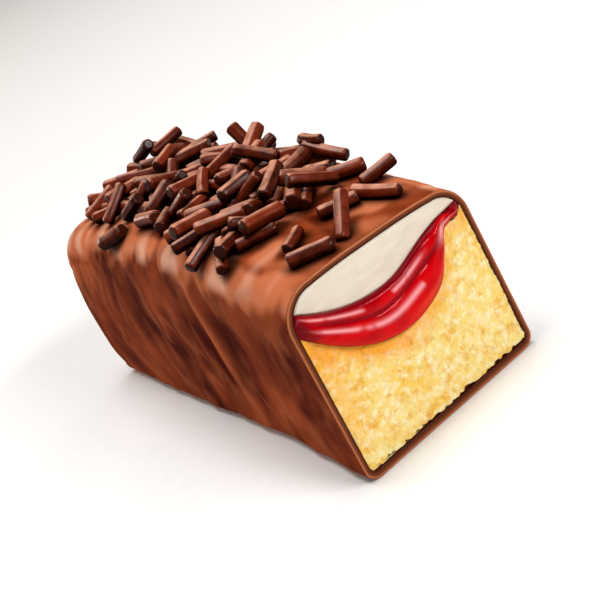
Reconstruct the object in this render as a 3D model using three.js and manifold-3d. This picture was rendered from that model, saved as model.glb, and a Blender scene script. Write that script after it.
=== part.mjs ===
// A cream-filled snack cake: a bar of yellow sponge with a trough of jam and cream along its top, enrobed in
// chocolate and strewn with chocolate strands, and cut across near one end so that the filling shows.
//
// Frame: millimetres, +Z up. The origin is on the table, under the middle of the bar. The bar lies along Y,
// with its cut face towards -Y and its whole, rounded end towards +Y.

import * as THREE from "three";
import { mergeVertices } from "three/addons/utils/BufferGeometryUtils.js";
import Module from "manifold-3d";

const wasm = await Module();
wasm.setup();

// ---------------------------------------------------------------- driving dimensions

const BODY_LENGTH = 98; // cut face to whole end
const JAM_BULGE = 1.3; // how far the soft jam swells out of the cut
const CUT_Y = JAM_BULGE - (BODY_LENGTH + JAM_BULGE) / 2;
const FAR_Y = CUT_Y + BODY_LENGTH;

// The bar's section, seen from the cut: nearly square. Its left side leans in, and its right side is upright.
const BASE_HALF_WIDTH = 18.7;
const TOP_LEFT = -17.3;
const TOP_RIGHT = 19.1;
const TOP_HEIGHT = 33.6; // at the middle of the section, at the cut
const TOP_SLOPE = -0.07; // the top falls to the right by this share of the width
const TOP_CROWN = 0.4;
const BASE_CORNER = 2.4;
const TOP_CORNER_LEFT = 6.5;
const TOP_CORNER_RIGHT = 5.7;
const DOME = 4; // the top is this much higher at the middle of the length
const BASE_TUCK = 1; // the foot stands in by this much about a third of the way along
const BELLY = 1.2; // the sides bow out by this much at the whole end

// The rounding of the whole end.
const END_SIDE_RADIUS = 2.6;
const END_FOOT_RADIUS = 0.8;
const END_TOP_RADIUS = 6.8;
const END_FLOOR_RADIUS = 1.2;

// The chocolate coat, and the air between it and the cake.
const COAT_WALL = 1.2;
const COAT_FLOOR = 1.5;
const GAP = 0.3;

// The folds in which the coat ran down the sides before it set.
const FOLD_DEPTH = 0.35;
const FOLD_PITCHES = [7.6, 12.9];
const FOLD_BEND = 0.009; // a fold bends away along the bar by this times its height over the bend, squared
const FOLD_BEND_HEIGHT = 9;
const FOLD_WANDER = [1.9, 1.3];

// The trough in the sponge, which the jam lines and the cream fills.
const TROUGH_FLOOR = 17.3;
const TROUGH_RISE = 10.8;
const TROUGH_HALF_WIDTH = 17.5;
const TROUGH_CENTRE = 0.5;
const SHELF_RISE = 3.4; // the step on the trough's right side, where the jam runs thin
const SHELF_CENTRE = 13;
const SHELF_WIDTH = 2.6;
const JAM_TOP = 25.6;
const JAM_TOP_RISE_LEFT = 5.3;
const JAM_TOP_REACH_LEFT = 15;
const JAM_TOP_RISE_RIGHT = 3.6;
const JAM_TOP_REACH_RIGHT = 9;

// The open pores of the sponge's cut face.
const PORE_COUNT = 20;
const PORE_RADIUS = [0.5, 1.05];

// The chocolate strands.
const STRAND_COUNT = 92;
const STRAND_LENGTH = [6.2, 9];
const STRAND_RADIUS = [1.2, 1.65];
const STRAND_SIDES = 6;
const STRAND_BITE = 0.78; // strands touch at this share of their radii, so that they fuse
const SET_BITE = 0.5; // one with a lean of its own is pressed in deeper
const STEEPEST = 0.6; // a strand in the heap leans no more than this
const HEAP_CENTRE = [1.8, 50.6]; // across, and back from the cut
const HEAP_HALF_SIZE = [13, 43];
const HEAP_SPILL = 3.2; // the heap spills this much further over the left shoulder towards the cut
// The strands that lie within each range of turns: their share, added up, and the range.
const HEAP_TURNS = [
  [0.6, -50, 18],
  [0.8, -92, -60],
  [1, 26, 58],
];
const HEAP_SEED = 69314;
const TRIES = 4; // each strand takes the lowest of so many places

// ---------------------------------------------------------------- small helpers

const clamp = (value, low, high) => Math.min(high, Math.max(low, value));
const mix = (low, high, share) => low + (high - low) * share;
const smooth = (value) => {
  const t = clamp(value, 0, 1);
  return t * t * (3 - 2 * t);
};

// The fall of a quarter round of the given radius, `depth` past its start.
const roundOff = (depth, radius) => {
  const s = clamp(depth / radius, 0, 1);
  return radius * (1 - Math.sqrt(1 - s * s));
};

// A repeatable stream of numbers from 0 to 1.
function randomStream(seed) {
  let state = seed;
  return () => {
    state = (state * 48271) % 2147483647;
    return state / 2147483647;
  };
}

// A solid from loose triangles, whose corners are merged where they meet.
function solidOf(geometry) {
  const bare = geometry.index ? geometry.toNonIndexed() : geometry.clone();
  for (const name of Object.keys(bare.attributes)) {
    if (name !== "position") bare.deleteAttribute(name);
  }
  const merged = mergeVertices(bare, 1e-4);
  const index = merged.index.array;
  const kept = [];
  for (let i = 0; i < index.length; i += 3) {
    const [a, b, c] = index.slice(i, i + 3);
    if (a !== b && b !== c && c !== a) kept.push(a, b, c);
  }
  return new wasm.Manifold(
    new wasm.Mesh({
      numProp: 3,
      vertProperties: new Float32Array(merged.attributes.position.array),
      triVerts: new Uint32Array(kept),
    }),
  );
}

function geometryOf(solid) {
  const mesh = solid.getMesh();
  const geometry = new THREE.BufferGeometry();
  geometry.setAttribute("position", new THREE.BufferAttribute(new Float32Array(mesh.vertProperties), 3));
  geometry.setIndex(new THREE.BufferAttribute(new Uint32Array(mesh.triVerts), 1));
  geometry.computeVertexNormals();
  return geometry;
}

// The largest piece of a solid: a scrap that fuses to nothing is dropped.
function largestPiece(solid) {
  const pieces = solid.decompose();
  return pieces.reduce((best, piece) => (piece.volume() > best.volume() ? piece : best));
}

function geometryFromTriangles(corners) {
  const geometry = new THREE.BufferGeometry();
  geometry.setAttribute("position", new THREE.Float32BufferAttribute(corners.flat(), 3));
  return geometry;
}

// Joins rings of equal length one after another, and closes the first and the last to a point. The rings run
// against the clock seen from +Y, and the first one faces +Y.
function loft(rings, startCentre, endCentre) {
  const corners = [];
  const count = rings[0].length;
  for (let i = 0; i < count; i++) {
    const j = (i + 1) % count;
    const first = rings[0];
    const last = rings[rings.length - 1];
    corners.push(startCentre, first[j], first[i]);
    corners.push(endCentre, last[i], last[j]);
    for (let k = 0; k + 1 < rings.length; k++) {
      const [p, q] = [rings[k], rings[k + 1]];
      corners.push(p[i], p[j], q[j]);
      corners.push(p[i], q[j], q[i]);
    }
  }
  return geometryFromTriangles(corners);
}

// ---------------------------------------------------------------- the bar's outer form

const domeAt = (y) => DOME * Math.sin(Math.PI * clamp((y - CUT_Y) / BODY_LENGTH, 0, 1));

// The height of the top at (x, y), without the rounding of its corners.
const flatTopAt = (x, y) =>
  TOP_HEIGHT + TOP_SLOPE * x + TOP_CROWN * (1 - (x / TOP_RIGHT) ** 2) + domeAt(y);

// The height of the top at (x, y) with its rounding, on which the strands come to rest.
function topAt(x, y) {
  const overRight = roundOff(x - (TOP_RIGHT - TOP_CORNER_RIGHT), TOP_CORNER_RIGHT);
  const overLeft = roundOff(TOP_LEFT + TOP_CORNER_LEFT - x, TOP_CORNER_LEFT);
  const overEnd = roundOff(y - (FAR_Y - END_TOP_RADIUS), END_TOP_RADIUS);
  return flatTopAt(x, y) - overRight - overLeft - overEnd;
}

const alongAt = (y) => clamp((y - CUT_Y) / BODY_LENGTH, 0, 1);
const tuckAt = (y) => BASE_TUCK * Math.sin(Math.PI * alongAt(y) ** 0.6) ** 3;
const bellyAt = (y) => BELLY * alongAt(y) ** 2;

// A corner of the section as a round of `radius`, in `steps` steps.
function roundedCorner(before, corner, after, radius, steps) {
  const toBefore = before.clone().sub(corner).normalize();
  const toAfter = after.clone().sub(corner).normalize();
  const halfAngle = Math.acos(clamp(toBefore.dot(toAfter), -1, 1)) / 2;
  const start = corner.clone().addScaledVector(toBefore, radius / Math.tan(halfAngle));
  const end = corner.clone().addScaledVector(toAfter, radius / Math.tan(halfAngle));
  const bisector = toBefore.clone().add(toAfter).normalize();
  const centre = corner.clone().addScaledVector(bisector, radius / Math.sin(halfAngle));
  const from = start.sub(centre);
  const turn = Math.PI - 2 * halfAngle;
  return Array.from({ length: steps + 1 }, (_, k) =>
    from.clone().rotateAround(new THREE.Vector2(), (turn * k) / steps).add(centre),
  );
}

const STEPS = { base: 5, right: 7, top: 6, left: 7, baseCorner: 2, topCorner: 6 };

// The bar's section at `y`, taken in by `inset` at its sides, top and whole end, and by `floor` underneath.
function sectionRing(y, inset, floor) {
  const end = FAR_Y - inset;
  const sideRadius = Math.max(END_SIDE_RADIUS - inset, 0.5);
  const topRadius = Math.max(END_TOP_RADIUS - inset, 0.5);
  const footRadius = Math.max(END_FOOT_RADIUS - inset, 0.5);
  const side = inset + roundOff(y - (end - sideRadius), sideRadius);
  const foot = inset + roundOff(y - (end - footRadius), footRadius) + tuckAt(y);
  const top = inset + roundOff(y - (end - topRadius), topRadius);
  const bottom = floor + roundOff(y - (end - END_FLOOR_RADIUS), END_FLOOR_RADIUS);
  const radii = [BASE_CORNER, BASE_CORNER, TOP_CORNER_RIGHT, TOP_CORNER_LEFT].map((radius) =>
    Math.max(radius - inset, 0.4),
  );
  const heightAt = (x) => flatTopAt(x, y) - top;
  const corners = [
    new THREE.Vector2(foot - BASE_HALF_WIDTH, bottom),
    new THREE.Vector2(BASE_HALF_WIDTH - foot, bottom),
    new THREE.Vector2(TOP_RIGHT - side, heightAt(TOP_RIGHT - side)),
    new THREE.Vector2(TOP_LEFT + side, heightAt(TOP_LEFT + side)),
  ];
  const rounds = corners.map((corner, k) =>
    roundedCorner(
      corners[(k + 3) % 4],
      corner,
      corners[(k + 1) % 4],
      radii[k],
      k < 2 ? STEPS.baseCorner : STEPS.topCorner,
    ),
  );
  const edges = [STEPS.base, STEPS.right, STEPS.top, STEPS.left];
  const outline = [];
  rounds.forEach((round, k) => {
    outline.push(...round);
    const [start, next] = [round[round.length - 1], rounds[(k + 1) % 4][0]];
    for (let step = 1; step < edges[k]; step++) {
      const point = start.clone().lerp(next, step / edges[k]);
      const bow = 1 - Math.abs((2 * step) / edges[k] - 1) ** 3;
      if (k === 2) point.y += TOP_CROWN * bow;
      if (k === 1 || k === 3) point.x += (2 - k) * bellyAt(y) * bow;
      outline.push(point);
    }
  });
  return outline.map((point) => [point.x, y, point.y]);
}

// How far the folds of the coat push its side in or out at height z. They wander, and come and go.
function foldAt(y, z) {
  const wander = FOLD_WANDER[0] * Math.sin(y / 11.3 + 0.6) + FOLD_WANDER[1] * Math.sin(z / 6.1 + y / 17);
  const along = y + FOLD_BEND * (z - FOLD_BEND_HEIGHT) ** 2 + wander;
  const waves = FOLD_PITCHES.map((pitch, k) => Math.sin((2 * Math.PI * along) / pitch + 1.7 * k));
  const strength = 0.65 + 0.35 * Math.sin(y / 7.9 + z / 9.7 + 1);
  const height = z / TOP_HEIGHT;
  const fade = smooth(height / 0.3) * smooth((1.08 - height) / 0.25);
  const nearCut = smooth((y - CUT_Y) / 8);
  return FOLD_DEPTH * fade * nearCut * ((strength * (waves[0] + 0.7 * waves[1])) / 1.7 - 0.25);
}

// Moves a ring's side points in or out by the folds.
function withFolds(ring) {
  return ring.map(([x, y, z]) => {
    const sideShare = smooth((Math.abs(x) - 12) / 6);
    return [x + Math.sign(x) * sideShare * foldAt(y, z), y, z];
  });
}

// Where the sections stand along the bar, from the whole end to `start`: close together round the end.
const FINE_END = [90, 72, 54, 36, 18];
const COARSE_END = [90, 60, 30];

function stations(start, end, step, endAngles) {
  const straightEnd = end - END_TOP_RADIUS;
  const list = endAngles.map((degrees) => {
    const angle = THREE.MathUtils.degToRad(degrees);
    return straightEnd + END_TOP_RADIUS * Math.sin(angle);
  });
  const count = Math.round((straightEnd - start) / step);
  for (let k = 0; k <= count; k++) list.push(mix(straightEnd, start, k / count));
  return list;
}

const middleOf = (ring) => {
  const sum = ring.reduce((total, point) => total.map((value, axis) => value + point[axis]), [0, 0, 0]);
  return sum.map((value) => value / ring.length);
};

// ---------------------------------------------------------------- the coat

const OUTER_STEP = 3.6;
const INNER_STEP = 22;

function coatShell() {
  const outer = stations(CUT_Y, FAR_Y, OUTER_STEP, FINE_END).map((y) =>
    withFolds(sectionRing(y, 0, 0)),
  );
  const innerEnd = FAR_Y - COAT_WALL;
  const inner = stations(CUT_Y, innerEnd, INNER_STEP, COARSE_END)
    .reverse()
    .map((y) => sectionRing(y, COAT_WALL, COAT_FLOOR));
  const rings = [...outer, ...inner];
  return solidOf(loft(rings, middleOf(outer[0]), middleOf(inner[inner.length - 1])));
}

// ---------------------------------------------------------------- the strands

// Strands with a place of their own: x, how far back from the cut, turn about Z in degrees, length, radius,
// and lean where it isn't left to what they fall on. The first lie on the coat round the heap's edge, and the
// others lie on top.
const EDGE_STRANDS = [
  { x: -15.3, back: 62.8, turn: -60, length: 6.8, radius: 1.6, lean: 0.25 },
  { x: -12.6, back: 31.8, turn: 54, length: 7, radius: 1.15 },
  { x: -13.1, back: 20.7, turn: 52, length: 7.6, radius: 1.25 },
  { x: -7.4, back: 18.2, turn: -18, length: 7.3, radius: 1.2 },
  { x: -6.6, back: 3.4, turn: -25, length: 7.7, radius: 1.45 },
  { x: -5.3, back: 10.2, turn: 35, length: 5.8, radius: 1.2 },
  { x: 4.6, back: 11.1, turn: -20, length: 7, radius: 1.3 },
  { x: 1.6, back: 5.2, turn: 40, length: 9, radius: 1.4, lean: 0.6 },
  { x: 10.2, back: 8.2, turn: -68, length: 9.2, radius: 1.3 },
  { x: 14.8, back: 13.6, turn: -14, length: 6.8, radius: 1.35, lean: 0.12 },
  { x: 13, back: 20.1, turn: -33, length: 6.6, radius: 1.5 },
  { x: 14, back: 30.1, turn: -56, length: 6, radius: 1.3 },
  { x: 11, back: 27.1, turn: -48, length: 6.6, radius: 1.3 },
  { x: -9.8, back: 75.1, turn: -45, length: 7.2, radius: 1.3 },
  { x: -7.6, back: 84, turn: -62, length: 9.6, radius: 1.35 },
];
const TOP_STRANDS = [
  { x: 6.4, back: 19.2, turn: -3, length: 9.2, radius: 1.35 },
  { x: 15, back: 28, turn: -72, length: 9, radius: 1.3 },
  { x: 15, back: 31, turn: -80, length: 5.4, radius: 1.2, lean: -0.1 },
  { x: 7.7, back: 38, turn: -50, length: 8.4, radius: 1.3 },
  { x: 11.6, back: 49, turn: 95, length: 8, radius: 1.4, lean: 1.6 },
  { x: 10.6, back: 44, turn: 26, length: 7.8, radius: 1.55, lean: 0.35 },
  { x: 14, back: 82, turn: -76, length: 8.4, radius: 1.25 },
  { x: 9.8, back: 82, turn: 8, length: 8, radius: 1.3 },
  { x: 5.6, back: 85, turn: -80, length: 8.6, radius: 1.3 },
];

const SUPPORT_SHARES = [-1, -0.6, -0.2, 0.2, 0.6, 1];

// Lets a strand fall straight down: it comes to rest on the highest supports on either side of its middle.
function settle(strand, placed) {
  const turn = THREE.MathUtils.degToRad(strand.turn);
  const reach = strand.length / 2 - strand.radius;
  const run = reach / Math.hypot(1, strand.lean ?? 0);
  const bite = strand.lean ? SET_BITE : STRAND_BITE;
  const supports = SUPPORT_SHARES.map((share) => {
    const x = strand.x + share * run * Math.cos(turn);
    const y = CUT_Y + strand.back + share * run * Math.sin(turn);
    let height = topAt(x, y) + strand.radius * bite;
    for (const other of placed) {
      const touch = (strand.radius + other.radius) * bite;
      for (const [ox, oy, oz] of other.axisPoints) {
        const gapSquared = (x - ox) ** 2 + (y - oy) ** 2;
        if (gapSquared < touch * touch) height = Math.max(height, oz + Math.sqrt(touch * touch - gapSquared));
      }
    }
    return { at: share * run, height };
  });
  let rest = { height: -Infinity, slope: 0 };
  for (const left of supports.filter((support) => support.at < 0)) {
    for (const right of supports.filter((support) => support.at > 0)) {
      const slope = (right.height - left.height) / (right.at - left.at);
      const height = left.height - slope * left.at;
      if (height > rest.height) rest = { height, slope };
    }
  }
  const slope = strand.lean ?? clamp(rest.slope, -STEEPEST, STEEPEST);
  const height = Math.max(...supports.map((support) => support.height - slope * support.at));
  const direction = new THREE.Vector3(Math.cos(turn), Math.sin(turn), slope).normalize();
  const centre = new THREE.Vector3(strand.x, CUT_Y + strand.back, height);
  const axisPoints = [-1, -0.67, -0.33, 0, 0.33, 0.67, 1].map((share) =>
    centre.clone().addScaledVector(direction, share * reach).toArray(),
  );
  return { ...strand, centre, direction, axisPoints };
}

// One place in the heap, drawn at random. The heap covers a rounded patch of the top that stops short of the
// cut, more so on its right side.
function heapPlace(random) {
  for (;;) {
    const across = mix(-1, 1, random());
    const along = mix(-1, 1, random());
    const x = HEAP_CENTRE[0] + HEAP_HALF_SIZE[0] * across;
    const back = HEAP_CENTRE[1] + HEAP_HALF_SIZE[1] * along;
    const spill = x < 0 ? HEAP_SPILL * smooth((42.6 - back) / 20) : 0;
    const inPatch = Math.abs(across) ** 3 + Math.abs(along) ** 4 < 1;
    const behindFront = back > 17 + 0.6 * x;
    if (!inPatch || !behindFront) continue;
    const group = random();
    const [, low, high] = HEAP_TURNS.find(([share]) => share > group);
    const turn = mix(low, high, random());
    const length = mix(...STRAND_LENGTH, random());
    const radius = mix(...STRAND_RADIUS, random());
    return { x: x + spill * across, back, turn, length, radius, rim: across ** 2 + 0.4 * along ** 4 };
  }
}

// Each strand of the heap takes the lowest of a few places, with those near the heap's rim counted as higher,
// so that the heap is close and even, and deepest along its middle.
const RIM_PENALTY = 1.6;

function settledStrands() {
  const random = randomStream(HEAP_SEED);
  const placed = [];
  for (const strand of EDGE_STRANDS) placed.push(settle(strand, placed));
  while (placed.length < EDGE_STRANDS.length + STRAND_COUNT) {
    const tries = Array.from({ length: TRIES }, () => settle(heapPlace(random), placed));
    const climbOf = ({ centre, rim }) => centre.z - topAt(centre.x, centre.y) + RIM_PENALTY * rim;
    placed.push(tries.reduce((best, next) => (climbOf(next) < climbOf(best) ? next : best)));
  }
  for (const strand of TOP_STRANDS) placed.push(settle(strand, placed));
  return placed;
}

// A strand is a short rod whose ends are slightly domed.
function strandSolid({ centre, direction, length, radius }) {
  const shoulder = length / 2 - 0.35 * radius;
  const profile = [
    new THREE.Vector2(0, -length / 2),
    new THREE.Vector2(radius, -shoulder),
    new THREE.Vector2(radius, shoulder),
    new THREE.Vector2(0, length / 2),
  ];
  const geometry = new THREE.LatheGeometry(profile, STRAND_SIDES);
  const turn = new THREE.Quaternion().setFromUnitVectors(new THREE.Vector3(0, 1, 0), direction);
  geometry.applyQuaternion(turn).translate(...centre.toArray());
  return solidOf(geometry);
}

// ---------------------------------------------------------------- the cake and its filling

// The cake inside the coat. `front` is where it starts, which is the cut for all but the swelling jam.
function coreSolid(front) {
  const inset = COAT_WALL + GAP;
  const rings = stations(CUT_Y, FAR_Y - inset, INNER_STEP, COARSE_END).map((y) =>
    sectionRing(y, inset, COAT_FLOOR + GAP),
  );
  if (front < CUT_Y) rings.push(rings[rings.length - 1].map(([x, , z]) => [x, front, z]));
  return solidOf(loft(rings, middleOf(rings[0]), middleOf(rings[rings.length - 1])));
}

const troughAt = (x) =>
  TROUGH_FLOOR +
  TROUGH_RISE * ((x - TROUGH_CENTRE) / TROUGH_HALF_WIDTH) ** 2 +
  SHELF_RISE * Math.exp(-(((x - SHELF_CENTRE) / SHELF_WIDTH) ** 2));

const jamTopAt = (x) =>
  x < 0
    ? JAM_TOP + JAM_TOP_RISE_LEFT * (x / JAM_TOP_REACH_LEFT) ** 2
    : JAM_TOP + JAM_TOP_RISE_RIGHT * (1 - Math.exp(-((x / JAM_TOP_REACH_RIGHT) ** 2)));

const LAYER_STEPS = 26;
const LAYER_REACH = BASE_HALF_WIDTH + 1;
const layerXs = Array.from({ length: LAYER_STEPS + 1 }, (_, k) =>
  mix(-LAYER_REACH, LAYER_REACH, k / LAYER_STEPS),
);

// All that lies above the line heightAt(x), along the whole bar.
function regionAbove(heightAt) {
  const shape = new THREE.Shape(layerXs.map((x) => new THREE.Vector2(x, heightAt(x))));
  shape.lineTo(LAYER_REACH, 3 * TOP_HEIGHT);
  shape.lineTo(-LAYER_REACH, 3 * TOP_HEIGHT);
  const depth = 2 * BODY_LENGTH;
  const geometry = new THREE.ExtrudeGeometry(shape, { depth, bevelEnabled: false, steps: 1 });
  return solidOf(geometry.rotateX(Math.PI / 2).translate(0, depth / 2, 0));
}

// The jam between the trough and the cream. Its cut end swells forward between its edges.
const JAM_ROWS = 6;

function jamBlank() {
  const front = (column, row) => {
    const x = layerXs[column];
    const atTip = column === 0 || column === LAYER_STEPS;
    const share = atTip ? 0.5 : row / JAM_ROWS;
    const swell = Math.sqrt(1 - (2 * share - 1) ** 2);
    const thickness = jamTopAt(x) - troughAt(x);
    const fade = smooth((TOP_RIGHT - Math.abs(x)) / 4) * smooth(thickness / 5);
    const y = CUT_Y - (row === 0 || row === JAM_ROWS || atTip ? 0 : JAM_BULGE * swell * fade);
    return [x, y, mix(troughAt(x), jamTopAt(x), share)];
  };
  const back = (column, row) => {
    const [x, , z] = front(column, row);
    return [x, FAR_Y, z];
  };
  const corners = [];
  const quad = (a, b, c, d) => corners.push(a, b, c, a, c, d);
  for (let i = 0; i < LAYER_STEPS; i++) {
    for (let j = 0; j < JAM_ROWS; j++) {
      quad(front(i, j), front(i + 1, j), front(i + 1, j + 1), front(i, j + 1));
    }
    quad(back(i + 1, 0), back(i, 0), back(i, JAM_ROWS), back(i + 1, JAM_ROWS));
    quad(front(i + 1, 0), front(i, 0), back(i, 0), back(i + 1, 0));
    quad(front(i, JAM_ROWS), front(i + 1, JAM_ROWS), back(i + 1, JAM_ROWS), back(i, JAM_ROWS));
  }
  return solidOf(geometryFromTriangles(corners));
}

// Open pores over the sponge's cut face, spread evenly and drawn from one seed.
function poreSolids() {
  const random = randomStream(HEAP_SEED + 1);
  const pores = [];
  for (let n = 1; pores.length < PORE_COUNT; n++) {
    const x = mix(-16, 16, (n * 0.7548776662) % 1);
    const z = mix(3.5, 27, (n * 0.569840291) % 1);
    const radius = mix(...PORE_RADIUS, random());
    const spin = random() * Math.PI;
    if (z > troughAt(x) - 2.2) continue;
    const geometry = new THREE.IcosahedronGeometry(radius, 0).rotateX(spin).rotateZ(spin);
    geometry.scale(1.15, 1, 0.9).translate(x, CUT_Y + 0.25 * radius, z);
    pores.push(solidOf(geometry));
  }
  return pores;
}

// ---------------------------------------------------------------- the pieces

function coatingSolid() {
  const strands = settledStrands().map(strandSolid);
  return largestPiece(wasm.Manifold.union([coatShell(), ...strands]));
}

function spongeSolid() {
  const trough = regionAbove((x) => troughAt(x) - GAP);
  const pores = wasm.Manifold.union(poreSolids());
  return largestPiece(coreSolid(CUT_Y).subtract(trough).subtract(pores));
}

const jamSolid = () => largestPiece(jamBlank().intersect(coreSolid(CUT_Y - 2 * JAM_BULGE)));

const creamSolid = () =>
  largestPiece(coreSolid(CUT_Y).intersect(regionAbove((x) => jamTopAt(x) + GAP)));

const PIECES = [
  { name: "chocolate_coating", make: coatingSolid, color: "#6b321b", roughness: 0.38 },
  { name: "sponge_cake", make: spongeSolid, color: "#f3cf62", roughness: 0.95 },
  { name: "jam_filling", make: jamSolid, color: "#c3060f", roughness: 0.12 },
  { name: "cream_filling", make: creamSolid, color: "#f1e8d6", roughness: 0.55 },
];

const cake = new THREE.Group();
for (const { name, make, color, roughness } of PIECES) {
  const material = new THREE.MeshStandardMaterial({ color, roughness, metalness: 0 });
  const mesh = new THREE.Mesh(geometryOf(make()), material);
  mesh.name = name;
  cake.add(mesh);
}

export default cake;
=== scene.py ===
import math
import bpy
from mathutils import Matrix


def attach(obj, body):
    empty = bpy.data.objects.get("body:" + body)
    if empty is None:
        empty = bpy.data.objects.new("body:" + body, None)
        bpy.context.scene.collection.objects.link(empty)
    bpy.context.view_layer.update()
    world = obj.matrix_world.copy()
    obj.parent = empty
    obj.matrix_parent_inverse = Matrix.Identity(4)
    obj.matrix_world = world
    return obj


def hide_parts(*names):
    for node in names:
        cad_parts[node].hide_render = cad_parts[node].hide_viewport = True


bl_info = {
    "name": "Cream-Filled Snack Cake",
    "version": (1, 0, 0),
    "blender": (4, 5, 0),
    "location": "View3D > Sidebar > Snack Cake",
    "description": "A chocolate-coated sponge bar with jam, cream and chocolate strands, cut open at one end",
    "category": "Add Mesh",
}

import bpy
import numpy as np
from bpy.props import FloatProperty, FloatVectorProperty, IntProperty, PointerProperty
from mathutils import Matrix, Vector, noise

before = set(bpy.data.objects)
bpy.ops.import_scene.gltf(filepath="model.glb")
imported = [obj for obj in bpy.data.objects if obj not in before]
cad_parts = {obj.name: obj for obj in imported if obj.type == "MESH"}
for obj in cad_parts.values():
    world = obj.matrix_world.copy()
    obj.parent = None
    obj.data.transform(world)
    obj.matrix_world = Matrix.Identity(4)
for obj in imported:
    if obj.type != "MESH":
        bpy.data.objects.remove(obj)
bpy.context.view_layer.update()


MM = 0.001

# ------------------------------------------------------------------ the bar's form, in millimetres
# These are the solid's own measures, so that each piece stands where the solid has it.

BODY_LENGTH = 98.0
JAM_BULGE = 1.3
CUT_Y = JAM_BULGE - (BODY_LENGTH + JAM_BULGE) / 2
FAR_Y = CUT_Y + BODY_LENGTH
BASE_HALF_WIDTH = 18.7
TOP_LEFT = -17.3
TOP_RIGHT = 19.1
TOP_HEIGHT = 33.6
TOP_SLOPE = -0.07
TOP_CROWN = 0.4
BASE_CORNER = 2.4
TOP_CORNER_LEFT = 6.5
TOP_CORNER_RIGHT = 5.7
DOME = 4.0
BASE_TUCK = 1.0
BELLY = 1.2
END_SIDE_RADIUS = 2.6
END_FOOT_RADIUS = 0.8
END_TOP_RADIUS = 6.8
END_FLOOR_RADIUS = 1.2
COAT_WALL = 1.2
COAT_FLOOR = 1.5
FOLD_PITCHES = (7.6, 12.9)
FOLD_BEND = 0.009
FOLD_BEND_HEIGHT = 9.0
FOLD_WANDER = (1.9, 1.3)
TROUGH_FLOOR = 17.3
TROUGH_RISE = 10.8
TROUGH_HALF_WIDTH = 17.5
TROUGH_CENTRE = 0.5
SHELF_RISE = 3.4
SHELF_CENTRE = 13.0
SHELF_WIDTH = 2.6
JAM_TOP = 25.6
JAM_TOP_RISE_LEFT = 5.3
JAM_TOP_REACH_LEFT = 15.0
JAM_TOP_RISE_RIGHT = 3.6
JAM_TOP_REACH_RIGHT = 9.0

STRAND_COUNT = 92
STRAND_LENGTH = (6.2, 9.0)
STRAND_RADIUS = (1.2, 1.65)
STRAND_BITE = 0.78
SET_BITE = 0.5
STEEPEST = 0.6
HEAP_CENTRE = (1.8, 50.6)
HEAP_HALF_SIZE = (13.0, 43.0)
HEAP_SPILL = 3.2
# The strands that lie within each range of turns: their share, added up, and the range.
HEAP_TURNS = [(0.6, -50, 18), (0.8, -92, -60), (1.0, 26, 58)]
HEAP_SEED = 69314
TRIES = 4
RIM_PENALTY = 1.6
# The heap's front edge, as a distance from the cut at the middle, grows by this share to the right.
HEAP_FRONT = 17
HEAP_FRONT_SLANT = 0.6
# The heap spills over the left shoulder up to this far from the cut, and fades over this distance before it.
SPILL_END = 42.6
SPILL_FADE = 20
# Where a strand is held up, and where its middle line is sampled, as shares of its half length.
SUPPORT_SHARES = (-1, -0.6, -0.2, 0.2, 0.6, 1)
AXIS_SHARES = (-1, -0.67, -0.33, 0, 0.33, 0.67, 1)

# Strands with a place of their own: x, how far back from the cut, turn about Z in degrees, length, radius,
# and lean where it is set.
EDGE_STRANDS = [
    (-15.3, 62.8, -60, 6.8, 1.6, 0.25),
    (-12.6, 31.8, 54, 7, 1.15, None),
    (-13.1, 20.7, 52, 7.6, 1.25, None),
    (-7.4, 18.2, -18, 7.3, 1.2, None),
    (-6.6, 3.4, -25, 7.7, 1.45, None),
    (-5.3, 10.2, 35, 5.8, 1.2, None),
    (4.6, 11.1, -20, 7, 1.3, None),
    (1.6, 5.2, 40, 9, 1.4, 0.6),
    (10.2, 8.2, -68, 9.2, 1.3, None),
    (14.8, 13.6, -14, 6.8, 1.35, 0.12),
    (13, 20.1, -33, 6.6, 1.5, None),
    (14, 30.1, -56, 6, 1.3, None),
    (11, 27.1, -48, 6.6, 1.3, None),
    (-9.8, 75.1, -45, 7.2, 1.3, None),
    (-7.6, 84, -62, 9.6, 1.35, None),
]
TOP_STRANDS = [
    (6.4, 19.2, -3, 9.2, 1.35, None),
    (15, 28, -72, 9, 1.3, None),
    (15, 31, -80, 5.4, 1.2, -0.1),
    (7.7, 38, -50, 8.4, 1.3, None),
    (11.6, 49, 95, 8, 1.4, 1.6),
    (10.6, 44, 26, 7.8, 1.55, 0.35),
    (14, 82, -76, 8.4, 1.25, None),
    (9.8, 82, 8, 8, 1.3, None),
    (5.6, 85, -80, 8.6, 1.3, None),
]


# ------------------------------------------------------------------ small helpers

NOISE_SHIFT = 17.31
CELL_SHIFT = 11.7
CELL_SPREAD = 7.7
OCTAVE_GAIN = 0.8
OCTAVE_STEP = 2.1


def linear(hex_colour):
    """An sRGB hex colour as linear red, green and blue."""
    parts = [int(hex_colour[i : i + 2], 16) / 255 for i in (1, 3, 5)]
    return tuple(c / 12.92 if c <= 0.04045 else ((c + 0.055) / 1.055) ** 2.4 for c in parts)


def clamp(value, low, high):
    return min(high, max(low, value))


def mix(low, high, share):
    return low + (high - low) * share


def smooth(value):
    t = np.clip(value, 0, 1)
    return t * t * (3 - 2 * t)


def hump(value, centre, width):
    """A smooth hump, 1 high at its centre."""
    return np.exp(-(((value - centre) / width) ** 2))


def half_round(value, centre, half_width):
    """A half round, 1 high at its centre, and 0 past its edges."""
    return np.sqrt(np.clip(1 - ((value - centre) / half_width) ** 2, 0, 1))


def round_off(depth, radius):
    """The fall of a quarter round, depth past its start."""
    s = np.clip(depth / radius, 0, 1)
    return radius * (1 - np.sqrt(1 - s * s))


def xyz(x, y, z):
    """Points from their three measures, any of which may be one number for all."""
    return np.stack(np.broadcast_arrays(x, y, z), -1)


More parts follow.
